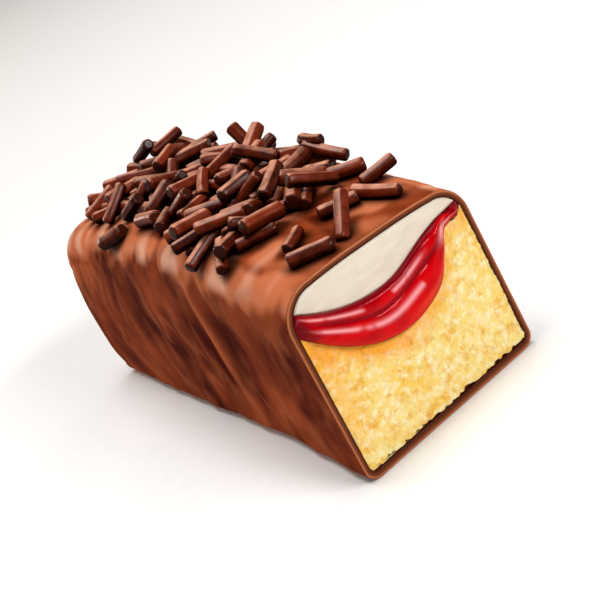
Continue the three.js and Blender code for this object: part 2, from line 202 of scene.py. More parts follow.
def noise_at(points, size, seed=0.0, octaves=1):
    """Soft noise from -1 to 1 at each point, with blobs of the given size or (x, y, z) sizes."""
    scaled = points / np.asarray(size, float) + seed * NOISE_SHIFT
    places = [Vector(place) for place in scaled.reshape(-1, 3)]
    if octaves == 1:
        values = [noise.noise(place) for place in places]
    else:
        values = [noise.fractal(place, OCTAVE_GAIN, OCTAVE_STEP, octaves) for place in places]
    return np.array(values).reshape(scaled.shape[:-1])


def cells_at(points, size, seed):
    """The distances to the two nearest cell centres, in cell sizes, and a random share for the nearest."""
    near, second, share = [], [], []
    for place in points / size + seed * CELL_SHIFT:
        distances, centres = noise.voronoi(Vector(place))
        near.append(distances[0])
        second.append(distances[1])
        share.append(noise.cell(centres[0] * CELL_SPREAD))
    return np.array(near), np.array(second), np.array(share)


def random_stream(seed):
    state = seed
    while True:
        state = state * 48271 % 2147483647
        yield state / 2147483647


def link_object(name, data):
    obj = bpy.data.objects.new(name, data)
    bpy.context.scene.collection.objects.link(obj)
    return obj


def write_attributes(mesh, attributes):
    """Writes float attributes on a mesh's points."""
    for key, values in attributes.items():
        layer = mesh.attributes.new(key, "FLOAT", "POINT")
        layer.data.foreach_set("value", np.asarray(values, np.float32))


def mesh_object(name, points_mm, faces, attributes):
    """A smooth-shaded mesh object from points in millimetres, with float attributes on its points."""
    mesh = bpy.data.meshes.new(name)
    mesh.from_pydata((points_mm * MM).tolist(), [], faces)
    write_attributes(mesh, attributes)
    mesh.validate()
    mesh.shade_smooth()
    mesh.update()
    return link_object(name, mesh)


def finish_piece(obj, node, material):
    """Gives a piece its material, and lets it stand for the solid of the same part."""
    obj.data.materials.clear()
    obj.data.materials.append(material)
    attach(obj, "root")
    if node:
        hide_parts(node)


# ------------------------------------------------------------------ the bar's section

# How many points each stretch of the outline takes, on the coat's skin and inside it.
FINE = {"base": 40, "right": 64, "top": 62, "left": 84, "base_corner": 8, "top_corner": 22}
PLAIN = {"base": 12, "right": 16, "top": 40, "left": 16, "base_corner": 5, "top_corner": 12}
LEAST_END_RADIUS = 0.5
LEAST_CORNER_RADIUS = 0.4


def along_at(y):
    return clamp((y - CUT_Y) / BODY_LENGTH, 0, 1)


def dome_at(y):
    return DOME * math.sin(math.pi * along_at(y))


def flat_top_at(x, y):
    return TOP_HEIGHT + TOP_SLOPE * x + TOP_CROWN * (1 - (x / TOP_RIGHT) ** 2) + dome_at(y)


def top_at(x, y):
    over_right = round_off(x - (TOP_RIGHT - TOP_CORNER_RIGHT), TOP_CORNER_RIGHT)
    over_left = round_off(TOP_LEFT + TOP_CORNER_LEFT - x, TOP_CORNER_LEFT)
    over_end = round_off(y - (FAR_Y - END_TOP_RADIUS), END_TOP_RADIUS)
    return flat_top_at(x, y) - over_right - over_left - over_end


def tuck_at(y):
    """How far the bar's foot stands in."""
    return BASE_TUCK * math.sin(math.pi * along_at(y) ** 0.6) ** 3


def belly_at(y):
    """How far the bar's sides bow out at mid-height."""
    return BELLY * along_at(y) ** 2


def rounded_corner(before, corner, after, radius, steps):
    to_before = (before - corner) / np.linalg.norm(before - corner)
    to_after = (after - corner) / np.linalg.norm(after - corner)
    half = math.acos(clamp(float(to_before @ to_after), -1, 1)) / 2
    start = corner + to_before * radius / math.tan(half)
    middle = to_before + to_after
    centre = corner + middle / np.linalg.norm(middle) * radius / math.sin(half)
    arm = start - centre
    out = []
    for k in range(steps + 1):
        turn = (math.pi - 2 * half) * k / steps
        c, s = math.cos(turn), math.sin(turn)
        out.append(centre + np.array([c * arm[0] - s * arm[1], s * arm[0] + c * arm[1]]))
    return out


def section(y, inset, floor, steps):
    """The bar's outline at y, against the clock seen from the cut, set in by inset and, below, by floor."""

    def set_in(radius):
        left_over = max(radius - inset, LEAST_END_RADIUS)
        return inset + round_off(y - (FAR_Y - inset - left_over), left_over)

    side = set_in(END_SIDE_RADIUS)
    foot = set_in(END_FOOT_RADIUS) + tuck_at(y)
    top = set_in(END_TOP_RADIUS)
    bottom = floor + round_off(y - (FAR_Y - inset - END_FLOOR_RADIUS), END_FLOOR_RADIUS)
    corners = [
        np.array([foot - BASE_HALF_WIDTH, bottom]),
        np.array([BASE_HALF_WIDTH - foot, bottom]),
        np.array([TOP_RIGHT - side, flat_top_at(TOP_RIGHT - side, y) - top]),
        np.array([TOP_LEFT + side, flat_top_at(TOP_LEFT + side, y) - top]),
    ]
    sizes = (BASE_CORNER, BASE_CORNER, TOP_CORNER_RIGHT, TOP_CORNER_LEFT)
    radii = [max(size - inset, LEAST_CORNER_RADIUS) for size in sizes]
    counts = [steps["base_corner"]] * 2 + [steps["top_corner"]] * 2
    rounds = [
        rounded_corner(corners[k - 1], corners[k], corners[(k + 1) % 4], radii[k], counts[k])
        for k in range(4)
    ]
    outline = []
    for k, edge in enumerate(("base", "right", "top", "left")):
        outline += rounds[k]
        start, after = rounds[k][-1], rounds[(k + 1) % 4][0]
        for step in range(1, steps[edge]):
            point = start + (after - start) * step / steps[edge]
            bow = 1 - abs(2 * step / steps[edge] - 1) ** 3
            if edge == "top":
                point = point + np.array([0, TOP_CROWN * bow])
            if edge in ("right", "left"):
                point = point + np.array([(2 - k) * belly_at(y) * bow, 0])
            outline.append(point)
    return np.array(outline)


def outward(ring):
    """The outward direction at each point of a section."""
    along = np.roll(ring, -1, 0) - np.roll(ring, 1, 0)
    out = np.column_stack([along[:, 1], -along[:, 0]])
    return out / np.linalg.norm(out, axis=1, keepdims=True)


def trough_at(x):
    bowl = ((x - TROUGH_CENTRE) / TROUGH_HALF_WIDTH) ** 2
    return TROUGH_FLOOR + TROUGH_RISE * bowl + SHELF_RISE * hump(x, SHELF_CENTRE, SHELF_WIDTH)


def jam_top_at(x):
    left = JAM_TOP + JAM_TOP_RISE_LEFT * (x / JAM_TOP_REACH_LEFT) ** 2
    right = JAM_TOP + JAM_TOP_RISE_RIGHT * (1 - hump(x, 0, JAM_TOP_REACH_RIGHT))
    return np.where(x < 0, left, right)


# ------------------------------------------------------------------ the chocolate coat

# How finely the skin is drawn: rings on the whole end, steps round its edge, and steps from there to the cut.
END_RINGS = 15
ROUND_STEPS = 26
LENGTH_STEPS = 196
# The skin stops this far behind the cut, where the cut edge takes over.
RIM_BACK = 0.3
# The drips, the pooled foot and the sheen fade in over this distance from the cut.
RIM_FADE = 5
# The painted shade round a strand reaches this far, and none is painted below this height.
STRAND_SHADE_REACH = 2.4
STRAND_SHADE_FOOT = 26
# The chocolate that pooled at the foot: its height and its half width.
POOL_HEIGHT = 1.2
POOL_WIDTH = 1.6

# Patterns in the poured chocolate: the size of their blobs, their seed, and their octaves.
DRIPS = ((5.0, 1, 15), 1.0, 2)
PATCHES = ((12, 1, 13), 2.0, 3)
SWELLS = ((8, 9, 8), 3.0)
SCALLOPS = ((4.2, 1, 1), 4.0, 2)
POOLS = (5.5, 4.0, 2)
THREADS = ((6.5, 1, 16), 6.0, 2)
THREAD_PLACES = ((9, 1, 10), 7.0)
TOP_SHEEN = ((6, 7, 8), 11.0, 2)
GLINTS = ((6, 1, 9), 13.0, 2)
EDGE_GRAIN = 0.9


def fold_flow(y, z):
    """Says which fold a point lies in, as the fold's place along the bar. The folds bend, and they wander."""
    bend = FOLD_BEND * (z - FOLD_BEND_HEIGHT) ** 2
    return y + bend + FOLD_WANDER[0] * np.sin(y / 11.3 + 0.6) + FOLD_WANDER[1] * np.sin(z / 6.1 + y / 17)


def fold_wave(y, z):
    """The folds where the coat ran down: -1 in a groove, 1 on a crest. They come and go along the bar."""
    flow = fold_flow(y, z)
    waves = [np.sin(2 * math.pi * flow / pitch + 1.7 * k) for k, pitch in enumerate(FOLD_PITCHES)]
    return (0.65 + 0.35 * np.sin(y / 7.9 + z / 9.7 + 1)) * (waves[0] + 0.7 * waves[1]) / 1.7


def fold_fade(y, z):
    height = z / TOP_HEIGHT
    return smooth(height / 0.3) * smooth((1.08 - height) / 0.25) * smooth((y - CUT_Y) / 8)


def coat_skin():
    """Rows of points over the coat, from the whole end's middle to the cut, and the outward way at each."""
    end_ring = section(FAR_Y, 0, 0, FINE)
    middle = end_ring.mean(0)
    rows, ways = [], []
    for share in np.linspace(0.06, 0.96, END_RINGS):
        ring = middle + (end_ring - middle) * share
        rows.append(xyz(ring[:, 0], FAR_Y, ring[:, 1]))
        ways.append(np.tile([0.0, 1.0, 0.0], (len(ring), 1)))
    round_start = FAR_Y - END_TOP_RADIUS
    angles = np.radians(np.linspace(90, 4, ROUND_STEPS))
    stations = list(round_start + END_TOP_RADIUS * np.sin(angles))
    stations += list(np.linspace(round_start, CUT_Y + RIM_BACK, LENGTH_STEPS))
    for y in stations:
        ring = section(y, 0, 0, FINE)
        out = outward(ring)
        lean = clamp((y - round_start) / END_TOP_RADIUS, 0, 1)
        rows.append(xyz(ring[:, 0], y, ring[:, 1]))
        way = xyz(out[:, 0], lean, out[:, 1])
        ways.append(way / np.linalg.norm(way, axis=1, keepdims=True))
    return np.vstack(rows), np.vstack(ways), len(end_ring)


def painted_strand_shade_at(points):
    """How deep each point lies in the shade painted round the strands: 1 under a strand, and 0 well away from
    it.
    """
    near = np.full(len(points), np.inf)
    high = np.flatnonzero(points[:, 2] > STRAND_SHADE_FOOT)
    for strand in settled_strands():
        for place in strand["axis"]:
            apart = np.linalg.norm(points[high] - place, axis=1) - strand["radius"]
            near[high] = np.minimum(near[high], apart)
    return smooth((STRAND_SHADE_REACH - near) / STRAND_SHADE_REACH)


def coat_points(settings):
    """The coat's outer skin with its relief, and at each point its tone, its pale threads, and the highlight,
    sheen and shade painted on it.
    """
    points, way, count = coat_skin()
    x, y, z = points.T
    upright = 1 - np.abs(way[:, 2])
    lift = np.clip(way[:, 2], 0, 1)
    near_rim = smooth((y - CUT_Y) / RIM_FADE)
    # On the whole end the folds run down as they do on the sides, and on the top the drips run across.
    on_end = smooth((y - (FAR_Y - 2.5)) / 2.5)
    along = y + 0.9 * x * on_end
    flow = fold_flow(along, z)
    run = z - np.abs(x) * (1 - on_end)
    fade = fold_fade(y, z)
    wave = fold_wave(along, z)
    side_share = smooth((np.abs(x) - 12) / 6)
    fold = settings.fold_depth / MM * fade * (wave - 0.25)
    points[:, 0] += np.sign(x) * side_share * fold * (1 - on_end)
    drips = noise_at(xyz(flow, 0, run), *DRIPS)
    patches = noise_at(xyz(flow, np.sign(x), run), *PATCHES)
    swells = noise_at(points, *SWELLS)
    scallop = noise_at(xyz(along, np.sign(x), 0), *SCALLOPS)
    shoulder = smooth((lift - 0.05) / 0.3) * smooth((0.98 - lift) / 0.2)
    dripped = settings.drip_depth / MM * drips * upright * fade
    amount = dripped + (0.2 * swells + 0.22 * scallop * shoulder) * smooth(z / 3)
    points += way * (amount * near_rim)[:, None]
    # Chocolate that pooled at the foot.
    foot = hump(z, POOL_HEIGHT, POOL_WIDTH) * np.abs(way[:, 0]) * near_rim
    points[:, 0] += np.sign(x) * foot * (0.2 + 0.4 * noise_at(xyz(y, 0, 0), *POOLS))
    points[:, 2] = np.maximum(points[:, 2], 0.0)
    # Pale threads run down with the drips, here and there.
    thread = noise_at(xyz(flow, np.sign(x), run), *THREADS)
    here = smooth(0.5 + 1.8 * noise_at(xyz(along, np.sign(x), run), *THREAD_PLACES))
    streak = smooth(1 - np.abs(thread) / 0.3) * here * upright
    dark_band = upright * smooth((z - 9) / 9) * smooth((28 - z) / 6)
    tone = (
        0.5 + 0.2 * wave * fade * (1 + patches) + 0.3 * drips * upright + 0.55 * patches + 0.1 * swells
        - 0.2 * dark_band + 0.22 * smooth((y - 5) / 40)
    )
    # Painted highlight: the shoulder is paler down to a scalloped edge, and the top carries a painted sheen
    # in patches, stronger to the left and fainter at the cut.
    over_shoulder = smooth((lift - 0.2 + 0.5 * scallop) / 0.4) * smooth(0.8 + 0.8 * patches)
    on_top = smooth((lift - 0.9) / 0.08)
    shiny = smooth(0.1 + 1.5 * noise_at(points, *TOP_SHEEN) + 0.6 * smooth((-3 - x) / 8))
    painted_highlight = over_shoulder * (1 - on_top) + on_top * 0.95 * (shiny * mix(0.5, 1, near_rim))
    # Painted sheen: pale patches along the shoulder, and on the top by the heap's near edge.
    gather = smooth(0.15 + 2.0 * noise_at(xyz(along, np.sign(x), z), *GLINTS))
    edge_on = smooth((lift - 0.3) / 0.3) * smooth((1.0 - lift) / 0.12)
    glint = gather * np.maximum(edge_on, 0.7 * on_top * smooth((-2 - x) / 6)) * near_rim
    values = {
        "tone": np.clip(tone, 0, 1), "streak": streak, "painted_highlight": painted_highlight, "glint": glint,
        "strand_shade": painted_strand_shade_at(points),
    }
    return points.reshape(-1, count, 3), values, count


def bridge(rows, count):
    """The faces between rows of rings that all have the same count of points."""
    faces = []
    for k in range(rows - 1):
        a, b = k * count, (k + 1) * count
        for i in range(count):
            j = (i + 1) % count
            faces.append((a + i, a + j, b + j, b + i))
    return faces


# Across the cut edge: how far in from the outside, in walls, how far back, and how pale it is: a painted
# highlight along the outer line, darker towards the inside.
CUT_EDGE = [
    (0.04, 0.1, 0.7), (0.12, 0.02, 1.0), (0.24, 0.0, 0.9), (0.36, 0.0, 0.3), (0.55, 0.03, 0.25),
    (0.75, 0.0, 0.1), (1.0, 0.12, 0.0),
]


def build_coat(settings):
    skin, values, count = coat_points(settings)
    wall = settings.wall / MM
    rings = list(skin)
    shift = skin[-1][:, (0, 2)] - section(CUT_Y + RIM_BACK, 0, 0, FINE)
    series = {key: list(value.reshape(-1, count)) for key, value in values.items()}
    none = np.zeros(count)
    cut, rim = [none] * len(rings), [none] * len(rings)
    for share, back, pale in CUT_EDGE:
        ring = section(CUT_Y, share * wall, share * COAT_FLOOR, FINE) + shift * (1 - share)
        rough = noise_at(xyz(ring[:, 0], 0, ring[:, 1]), EDGE_GRAIN, share + 5)
        y = CUT_Y + back + 0.07 * rough * (0.1 < share < 1)
        rings.append(xyz(ring[:, 0], y, ring[:, 1]))
        cut.append(none + 1)
        rim.append(none + pale)
    end = FAR_Y - wall
    for y in (CUT_Y + 1.2, CUT_Y + 5, *np.linspace(CUT_Y + 20, end - 7, 4), end - 2.5, end):
        ring = section(y, wall, COAT_FLOOR, FINE)
        rings.append(xyz(ring[:, 0], y, ring[:, 1]))
        cut.append(none)
        rim.append(none)
    for rows in series.values():
        rows.extend([none] * (len(rings) - len(rows)))
    series.update(cut_edge=cut, rim=rim)
    faces = bridge(len(rings), count)
    first = len(rings) * count
    base = first - count
    for i in range(count):
        j = (i + 1) % count
        faces.append((first, j, i))
        faces.append((first + 1, base + i, base + j))
    points = np.vstack(rings + [rings[0].mean(0), rings[-1].mean(0)])
    attributes = {key: np.append(np.concatenate(rows), [rows[0].mean(), 0]) for key, rows in series.items()}
    return mesh_object("chocolate_coat", points, faces, attributes)


# ------------------------------------------------------------------ the chocolate strands


def settle(strand, placed):
    """Lets a strand fall straight down until it rests on what lies on either side of its middle."""
    x0, back, turn, length, radius, lean = strand
    y0 = CUT_Y + back
    c, s = math.cos(math.radians(turn)), math.sin(math.radians(turn))
    reach = length / 2 - radius
    run = reach / math.hypot(1, lean or 0)
    bite = SET_BITE if lean else STRAND_BITE
    supports = []
    for share in SUPPORT_SHARES:
        x, y = x0 + share * run * c, y0 + share * run * s
        height = top_at(x, y) + radius * bite
        for other in placed:
            touch = (radius + other["radius"]) * bite
            for ox, oy, oz in other["axis"]:
                apart = (x - ox) ** 2 + (y - oy) ** 2
                if apart < touch * touch:
                    height = max(height, oz + math.sqrt(touch * touch - apart))
        supports.append((share * run, height))
    rest = (-math.inf, 0)
    for left in supports:
        for right in supports:
            if left[0] < 0 < right[0]:
                slope = (right[1] - left[1]) / (right[0] - left[0])
                height = left[1] - slope * left[0]
                if height > rest[0]:
                    rest = (height, slope)
    slope = lean if lean is not None else clamp(rest[1], -STEEPEST, STEEPEST)
    height = max(h - slope * at for at, h in supports)
    way = Vector((c, s, slope)).normalized()
    centre = Vector((x0, y0, height))
    axis = [tuple(centre + way * share * reach) for share in AXIS_SHARES]
    return {"centre": centre, "way": way, "length": length, "radius": radius, "axis": axis}


def heap_place(stream):
    """Draws a strand somewhere in the heap, and says how near the heap's rim it is."""
    while True:
        across = mix(-1, 1, next(stream))
        along = mix(-1, 1, next(stream))
        x = HEAP_CENTRE[0] + HEAP_HALF_SIZE[0] * across
        back = HEAP_CENTRE[1] + HEAP_HALF_SIZE[1] * along
        spill = HEAP_SPILL * float(smooth((SPILL_END - back) / SPILL_FADE)) if x < 0 else 0
        in_patch = abs(across) ** 3 + abs(along) ** 4 < 1
        behind_front = back > HEAP_FRONT + HEAP_FRONT_SLANT * x
        if not in_patch or not behind_front:
            continue
        group = next(stream)
        low, high = next((low, high) for share, low, high in HEAP_TURNS if share > group)
        turn = mix(low, high, next(stream))
        length = mix(*STRAND_LENGTH, next(stream))
        radius = mix(*STRAND_RADIUS, next(stream))
        rim = across**2 + 0.4 * along**4
        return (x + spill * across, back, turn, length, radius, None), rim


def settled_strands():
    """All strands at rest. Each strand of the heap takes the lowest of a few places."""
    stream = random_stream(HEAP_SEED)
    placed = []
    for strand in EDGE_STRANDS:
        placed.append(settle(strand, placed))
    while len(placed) < len(EDGE_STRANDS) + STRAND_COUNT:
        tries = []
        for _ in range(TRIES):
            strand, rim = heap_place(stream)
            rested = settle(strand, placed)
            centre = rested["centre"]
            tries.append((centre.z - top_at(centre.x, centre.y) + RIM_PENALTY * rim, rested))
        placed.append(min(tries, key=lambda item: item[0])[1])
    for strand in TOP_STRANDS:
        placed.append(settle(strand, placed))
    return placed


# Along a strand: how far from its end, and how wide it is there, in radii. The rest is cut into even steps.
END_PROFILE = [(0.0, 0.6), (0.04, 0.78), (0.14, 0.92), (0.3, 0.99), (0.6, 1.02)]
BODY_STEPS = 6
# How far a strand bends in millimetres, rolls in radians and tapers as a share of its radius, at most.
MOST_BEND = 0.35
MOST_ROLL = 0.5
MOST_TAPER = 0.05
LOOKS_SEED = HEAP_SEED + 5
LUMP_SEED = 3.0


def strand_paths(strands):
    """The strands' middle lines, and each point's radius, roll and shade, and whether it is an end."""
    stream = random_stream(LOOKS_SEED)
    points, edges = [], []
    values = {"radius_here": [], "roll": [], "shade": [], "end": []}
    for strand in strands:
        length, radius = strand["length"], strand["radius"]
        side = strand["way"].cross(Vector((0, 0, 1)))
        side = side.normalized() if side.length > 1e-3 else Vector((1, 0, 0))
        bend = mix(-MOST_BEND, MOST_BEND, next(stream))
        shade = next(stream)
        roll = mix(-MOST_ROLL, MOST_ROLL, next(stream))
        taper = mix(-MOST_TAPER, MOST_TAPER, next(stream))
        end_stops = [(d * radius, w) for d, w in END_PROFILE]
        inner = end_stops[-1][0]
        body = [(mix(inner, length - inner, k / BODY_STEPS), 1.0) for k in range(1, BODY_STEPS)]
        stops = end_stops + body + [(length - d, w) for d, w in reversed(end_stops)]
        for k, (at, width) in enumerate(stops):
            share = 2 * at / length - 1
            place = strand["centre"] + strand["way"] * (share * length / 2)
            points.append(tuple(place + side * bend * (0.5 - share * share)))
            values["radius_here"].append(radius * width * (1 + taper * share) * MM)
            values["roll"].append(roll)
            values["shade"].append(shade)
            values["end"].append(1.0 if min(at, length - at) < 0.1 * radius else 0.0)
            if k:
                edges.append((len(points) - 2, len(points) - 1))
    return points, edges, values


def fill(tree, node, **inputs):
    """Fills a node's inputs. i0 is the first of them, and a node given to one stands for its first output."""
    for key, value in inputs.items():
        by_place = key[0] == "i" and key[1:].isdigit()
        target = node.inputs[int(key[1:]) if by_place else key.replace("_", " ")]
        if isinstance(value, bpy.types.Node):
            value = value.outputs[0]
        if isinstance(value, bpy.types.NodeSocket):
            tree.links.new(value, target)
        else:
            target.default_value = value


def add(tree, kind, settings=None, **inputs):
    """Adds a node with its settings, values and links."""
    node = tree.nodes.new(kind)
    for key, value in (settings or {}).items():
        setattr(node, key, value)
    fill(tree, node, **inputs)
    return node


def strand_tree(material):
    """Sweeps a section with soft edges along each middle line, and roughens the surface a little."""
    tree = bpy.data.node_groups.new("strand_sweep", "GeometryNodeTree")
    names = {}
    kinds = {
        "Geometry": "Geometry", "Sides": "Int", "Edge Softness": "Float", "Unevenness": "Float",
        "Lump Size": "Float", "Seed": "Float",
    }
    for name, kind in kinds.items():
        made = tree.interface.new_socket(name, in_out="INPUT", socket_type="NodeSocket" + kind)
        names[name] = made.identifier
    tree.interface.new_socket("Geometry", in_out="OUTPUT", socket_type="NodeSocketGeometry")
    given = add(tree, "NodeGroupInput").outputs
    radius = add(tree, "GeometryNodeInputNamedAttribute", {"data_type": "FLOAT"}, Name="radius_here")
    roll = add(tree, "GeometryNodeInputNamedAttribute", {"data_type": "FLOAT"}, Name="roll")
    curves = add(tree, "GeometryNodeMeshToCurve", Mesh=given["Geometry"])
    level = add(tree, "GeometryNodeSetCurveNormal", {"mode": "Z_UP"}, Curve=curves)
    rolled = add(tree, "GeometryNodeSetCurveTilt", Curve=level, Tilt=roll)
    sized = add(tree, "GeometryNodeSetCurveRadius", Curve=rolled, Radius=radius)
    corners = add(tree, "GeometryNodeCurvePrimitiveCircle", Resolution=given["Sides"], Radius=1.0)
    softness = given["Edge Softness"]
    ring = add(tree, "GeometryNodeFilletCurve", {"mode": "POLY"}, Curve=corners, Radius=softness, Count=2)
    profile = {"Profile_Curve": ring, "Scale": radius, "Fill_Caps": True}
    swept = add(tree, "GeometryNodeCurveToMesh", Curve=sized, **profile)
    place = add(tree, "GeometryNodeInputPosition")
    scale = add(tree, "ShaderNodeMath", {"operation": "DIVIDE"}, i0=1.0, i1=given["Lump Size"])
    lumps = add(
        tree, "ShaderNodeTexNoise", {"noise_dimensions": "4D"}, Vector=place, W=given["Seed"], Scale=scale,
        Detail=2.0,
    )
    lump = lumps.outputs["Color"]
    centred = add(tree, "ShaderNodeVectorMath", {"operation": "SUBTRACT"}, i0=lump, i1=(0.5, 0.5, 0.5))
    push = add(tree, "ShaderNodeVectorMath", {"operation": "SCALE"}, i0=centred, Scale=given["Unevenness"])
    moved = add(tree, "GeometryNodeSetPosition", Geometry=swept, Offset=push)
    ways = add(tree, "ShaderNodeSeparateXYZ", Vector=add(tree, "GeometryNodeInputNormal"))
    lit = add(
        tree, "GeometryNodeStoreNamedAttribute", {"data_type": "FLOAT", "domain": "POINT"}, Geometry=moved,
        Name="upward", Value=ways.outputs["Z"],
    )
    whole = add(tree, "GeometryNodeRealizeInstances", Geometry=lit)
    shaded = add(tree, "GeometryNodeSetShadeSmooth", Geometry=whole)
    dressed = add(tree, "GeometryNodeSetMaterial", Geometry=shaded, Material=material)
    add(tree, "NodeGroupOutput", Geometry=dressed)
    return tree, names


def build_strands(settings, material):
    points, edges, values = strand_paths(settled_strands())
    lines = bpy.data.meshes.new("strand_lines")
    lines.from_pydata((np.array(points) * MM).tolist(), edges, [])
    write_attributes(lines, values)
    source = link_object("strand_lines", lines)
    tree, names = strand_tree(material)
    modifier = source.modifiers.new("sweep", "NODES")
    modifier.node_group = tree
    modifier[names["Sides"]] = settings.sides
    modifier[names["Edge Softness"]] = settings.softness
    modifier[names["Unevenness"]] = settings.unevenness
    modifier[names["Lump Size"]] = settings.lump_size
    modifier[names["Seed"]] = LUMP_SEED
    graph = bpy.context.evaluated_depsgraph_get()
    done = bpy.data.meshes.new_from_object(source.evaluated_get(graph))
    bpy.data.objects.remove(source)
    done.name = "chocolate_strands"
    return link_object("chocolate_strands", done)


# ------------------------------------------------------------------ the cake and its filling

# The cake and its filling reach this far into the coat, so that no gap shows.
SNUG = 0.03
# The coat's inside counts as wall up to the one height at the cut, and as roof from the other.
WALL_TOP = 28
ROOF_FOOT = 12
LAYER_REACH = 17.6
LAYER_SEARCH_STEPS = 2401
# Rings behind the cut, counted from the cut and from the far end, and the roundings of that end.
BACK_STEPS = (1.5, 8, 24, 48, 72)
END_STEPS = (6.2, 2, 0.1)
END_SIDE_ROUND = 2.4
END_TOP_ROUND = 6.3

# Columns and rows of points on each cut face, and about how far apart the sponge's are.
SPONGE_GRID = (262, 172)
JAM_GRID = (300, 64)
CREAM_GRID = (220, 90)
COLUMN_STEP = 0.14
ROW_STEP = 0.1

# Patterns in the crumb, the jam and the cream: the size of their blobs, their seed, and their octaves.
PORES = (1.7, 1.0)
SMALL_PORES = (0.8, 2.0)
CRUMB_GRAIN = (0.33, 3.0)
CRUMB_SWELLS = (5.5, 4.0)
RAGGED_EDGE = (0.8, 5.0)
RAGGED_BAYS = (2.4, 6.0)
SYRUP_BLUR = (2.6, 7.0, 2)
JAM_SWELLS = ((4.5, 1, 2.6), 7.0)
JAM_RIPPLES = ((1.6, 1, 1.1), 8.0)
JAM_GLEAMS = ((3.4, 1, 1.5), 12.0, 2)
KNIFE_STROKES = ((6.5, 1, 0.9), 9.0)
CREAM_SWELLS = (5, 10.0)

# The crease between the jam's two ridges, as a share of the jam's height, and where the jam is pinched.
CREASE = 0.68
NECK_X = 15.2


def crease_wander(x):
    return 0.03 * np.sin(x / 2.3)


def coat_inside():
    """The inside of the coat at the cut: left and right wall by height, and roof by x."""
    ring = section(CUT_Y, COAT_WALL - SNUG, COAT_FLOOR - SNUG, PLAIN)
    low = ring[:, 1] < WALL_TOP
    left = ring[(ring[:, 0] < 0) & low]
    right = ring[(ring[:, 0] > 0) & low]
    roof = ring[ring[:, 1] > ROOF_FOOT]
    return left[left[:, 1].argsort()], right[right[:, 1].argsort()], roof[roof[:, 0].argsort()]


def roof_at(x):
    """The height of the coat's inside over x at the cut, and 0 past its walls."""
    roof = coat_inside()[2]
    return np.interp(x, roof[:, 0], roof[:, 1], left=0, right=0)


def layer_ends(low_at, high_at, least):
    """The x of a layer's left and right end, where it is no thicker than the least."""
    x = np.linspace(-LAYER_REACH, LAYER_REACH, LAYER_SEARCH_STEPS)
    inside = x[high_at(x) > low_at(x) + least]
    return inside[0], inside[-1]


def cut_face(grid, place):
    """A grid of points place(u, v), its faces, and its border, against the clock seen from the cut."""
    columns, rows = grid
    u, v = np.meshgrid(np.linspace(0, 1, columns), np.linspace(0, 1, rows), indexing="ij")
    index = np.arange(columns * rows).reshape(columns, rows)
    loop = np.concatenate([index[:-1, 0], index[-1, :-1], index[:0:-1, -1], index[0, :0:-1]])
    return place(u, v).reshape(-1, 3), grid_faces(index), loop


def grid_faces(index):
    corners = [index[:-1, :-1], index[1:, :-1], index[1:, 1:], index[:-1, 1:]]
    return np.stack(corners, -1).reshape(-1, 4).tolist()


def run_back(name, points, faces, loop, lift, values):
    """Makes a piece of a cut face, carried back through the bar to the whole end and closed there."""
    far = FAR_Y - COAT_WALL
    border = points[loop]
    rows = [points]
    start = loop
    total = len(points)
    for y in [CUT_Y + step for step in BACK_STEPS] + [far - step for step in END_STEPS]:
        ring = border.copy()
        ring[:, 1] = y
        pinch = float(round_off(y - (far - END_SIDE_ROUND), END_SIDE_ROUND))
        fall = float(round_off(y - (far - END_TOP_ROUND), END_TOP_ROUND))
        ring[:, 0] -= np.sign(ring[:, 0]) * pinch * np.clip(np.abs(ring[:, 0]) / 8, 0, 1)
        ring[:, 2] += lift[loop] * (dome_at(y) - fall)
        index = np.arange(total, total + len(ring))
        for i in range(len(loop)):
            j = (i + 1) % len(loop)
            faces.append((int(start[j]), int(start[i]), int(index[i]), int(index[j])))
        rows.append(ring)
        start = index
        total += len(ring)
    faces.append(tuple(int(i) for i in start[::-1]))
    extra = total - len(points)
    values = {key: np.append(value, np.full(extra, float(value.mean()))) for key, value in values.items()}
    return mesh_object(name, np.vstack(rows), faces, values)


def sponge_face(u, v):
    left, right, _ = coat_inside()

    def across(z):
        xl = np.interp(z, left[:, 1], left[:, 0])
        xr = np.interp(z, right[:, 1], right[:, 0])
        return xl + (xr - xl) * u

    # Where a column meets the trough depends on how the walls lean, so its top is found in a few rounds.
    x = across(np.full(u.shape, 20.0))
    for _ in range(6):
        x = across(trough_at(x))
    z = COAT_FLOOR + (trough_at(x) + 0.05 - COAT_FLOOR) * v
    return xyz(across(z), CUT_Y, z)


